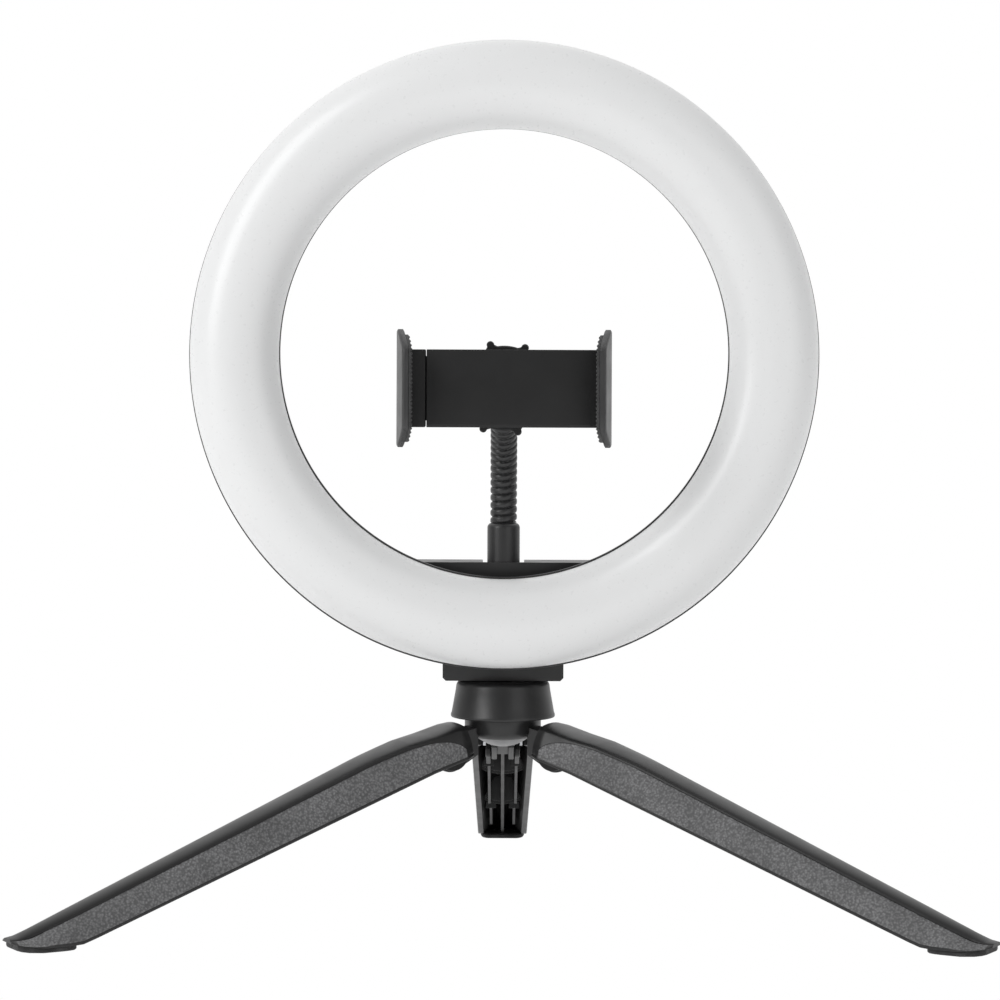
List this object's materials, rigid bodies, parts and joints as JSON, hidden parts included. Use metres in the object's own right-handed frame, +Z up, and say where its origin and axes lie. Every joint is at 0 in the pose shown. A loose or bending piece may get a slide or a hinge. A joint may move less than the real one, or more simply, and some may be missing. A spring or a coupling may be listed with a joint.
{
  "type": "ring light",
  "caption": "Table-top ring light: opal ring on a rear bracket, gooseneck with a sprung phone clamp on a ball joint, and a folding plastic tripod.",
  "frame": {"origin": "on the table, in the middle of the object's bounding box seen from above, behind the tripod's axis", "axes": "+Z up; -Y is the front, where the diffuser and the phone clamp face; +X is to the right seen from the front"},
  "size_m": [0.298, 0.2598, 0.2783],
  "materials": {
    "satin_black_plastic": "satin, fine moulded grain",
    "textured_black_plastic": "stippled side panels, smooth top bands",
    "opal_diffuser": "satin opal white",
    "black_rubber": "matt",
    "zinc_plated_steel": "zinc plated",
    "brass": "plain",
    "white_circuit_board": "white solder mask"
  },
  "bodies": {
    "tripod": {"tripod_hub": "satin_black_plastic", "hub_dish": "zinc_plated_steel", "leg_pin_left": "zinc_plated_steel", "leg_pin_right": "zinc_plated_steel", "leg_pin_rear": "zinc_plated_steel"},
    "leg_left": {"leg_left": "textured_black_plastic", "foot_left": "black_rubber"},
    "leg_right": {"leg_right": "textured_black_plastic", "foot_right": "black_rubber"},
    "leg_rear": {"leg_rear": "textured_black_plastic", "foot_rear": "black_rubber"},
    "knob": {"tripod_knob": "satin_black_plastic", "tripod_screw": "zinc_plated_steel"},
    "light": {"rear_casing": "satin_black_plastic", "diffuser": "opal_diffuser", "led_board": "white_circuit_board", "casing_screw_1": "zinc_plated_steel", "casing_screw_2": "zinc_plated_steel", "casing_screw_3": "zinc_plated_steel", "casing_screw_4": "zinc_plated_steel", "casing_screw_5": "zinc_plated_steel", "casing_screw_6": "zinc_plated_steel", "cable_gland": "black_rubber", "bracket_housing": "satin_black_plastic", "bracket_cover": "satin_black_plastic", "bracket_screw_1": "zinc_plated_steel", "bracket_screw_2": "zinc_plated_steel", "bracket_screw_3": "zinc_plated_steel", "bracket_screw_4": "zinc_plated_steel", "thread_insert": "brass", "neck_socket": "satin_black_plastic"},
    "neck_1": {"neck_segment_1": "satin_black_plastic"},
    "neck_2": {"neck_segment_2": "satin_black_plastic"},
    "neck_3": {"neck_segment_3": "satin_black_plastic"},
    "neck_4": {"neck_segment_4": "satin_black_plastic"},
    "neck_5": {"neck_segment_5": "satin_black_plastic", "ball_stud": "zinc_plated_steel"},
    "cup": {"ball_cup": "satin_black_plastic"},
    "nut": {"lobed_nut": "satin_black_plastic"},
    "clamp": {"clamp_frame": "satin_black_plastic", "clamp_back": "satin_black_plastic", "clamp_screw_1": "zinc_plated_steel", "clamp_screw_2": "zinc_plated_steel", "jaw_pad_right": "black_rubber", "clamp_spring": "zinc_plated_steel"},
    "jaw": {"clamp_slider": "satin_black_plastic", "jaw_pad_left": "black_rubber"}
  },
  "joints": [
    {"name": "leg_rear_fold", "type": "hinge", "parent": "tripod", "child": "leg_rear", "pos_m": [0, -0.01915, 0.051], "axis": [-1, 0, 0], "range_deg": [0, 68]},
    {"name": "leg_left_fold", "type": "hinge", "parent": "tripod", "child": "leg_left", "pos_m": [-0.01819, -0.05065, 0.051], "axis": [0.5, -0.866, 0], "range_deg": [0, 68]},
    {"name": "leg_right_fold", "type": "hinge", "parent": "tripod", "child": "leg_right", "pos_m": [0.01819, -0.05065, 0.051], "axis": [0.5, 0.866, 0], "range_deg": [0, 68]},
    {"name": "knob_turn", "type": "hinge", "parent": "tripod", "child": "knob", "pos_m": [0, -0.04015, 0.067], "axis": [0, 0, 1], "continuous": true},
    {"name": "light_turn", "type": "hinge", "parent": "knob", "child": "light", "pos_m": [0, -0.04015, 0.078], "axis": [0, 0, 1], "range_deg": [-90, 90]},
    {"name": "neck_pitch_1", "type": "hinge", "parent": "light", "child": "neck_1", "pos_m": [0, -0.04015, 0.1247], "axis": [1, 0, 0], "range_deg": [-10, 10]},
    {"name": "neck_roll_1", "type": "hinge", "parent": "neck_1", "child": "neck_2", "pos_m": [0, -0.0413, 0.13461], "axis": [0, 0.9736, 0.2284], "range_deg": [-12, 12]},
    {"name": "neck_pitch_2", "type": "hinge", "parent": "neck_2", "child": "neck_3", "pos_m": [0, -0.04468, 0.144], "axis": [1, 0, 0], "range_deg": [-10, 10]},
    {"name": "neck_roll_2", "type": "hinge", "parent": "neck_3", "child": "neck_4", "pos_m": [0, -0.05011, 0.15237], "axis": [0, 0.7705, 0.6375], "range_deg": [-12, 12]},
    {"name": "neck_pitch_3", "type": "hinge", "parent": "neck_4", "child": "neck_5", "pos_m": [0, -0.05731, 0.15927], "axis": [1, 0, 0], "range_deg": [-10, 10]},
    {"name": "clamp_tilt", "type": "hinge", "parent": "neck_5", "child": "cup", "pos_m": [0, -0.07367, 0.16781], "axis": [1, 0, 0], "range_deg": [-60, 12]},
    {"name": "clamp_turn", "type": "hinge", "parent": "cup", "child": "clamp", "pos_m": [0, -0.07367, 0.16781], "axis": [0, 1, 0], "range_deg": [-90, 90]},
    {"name": "nut_turn", "type": "hinge", "parent": "cup", "child": "nut", "pos_m": [0, -0.07367, 0.16781], "axis": [0, 1, 0], "continuous": true},
    {"name": "jaw_slide", "type": "slide", "parent": "clamp", "child": "jaw", "axis": [-1, 0, 0], "range_m": [0, 0.027], "stiffness_N_per_m": 150, "springref_m": -0.01, "deforming": ["clamp_spring"]}
  ],
  "couplings": [
    {"joint": "neck_pitch_2", "follows": "neck_pitch_1", "ratio": 1},
    {"joint": "neck_pitch_3", "follows": "neck_pitch_1", "ratio": 1},
    {"joint": "neck_roll_2", "follows": "neck_roll_1", "ratio": 1}
  ]
}
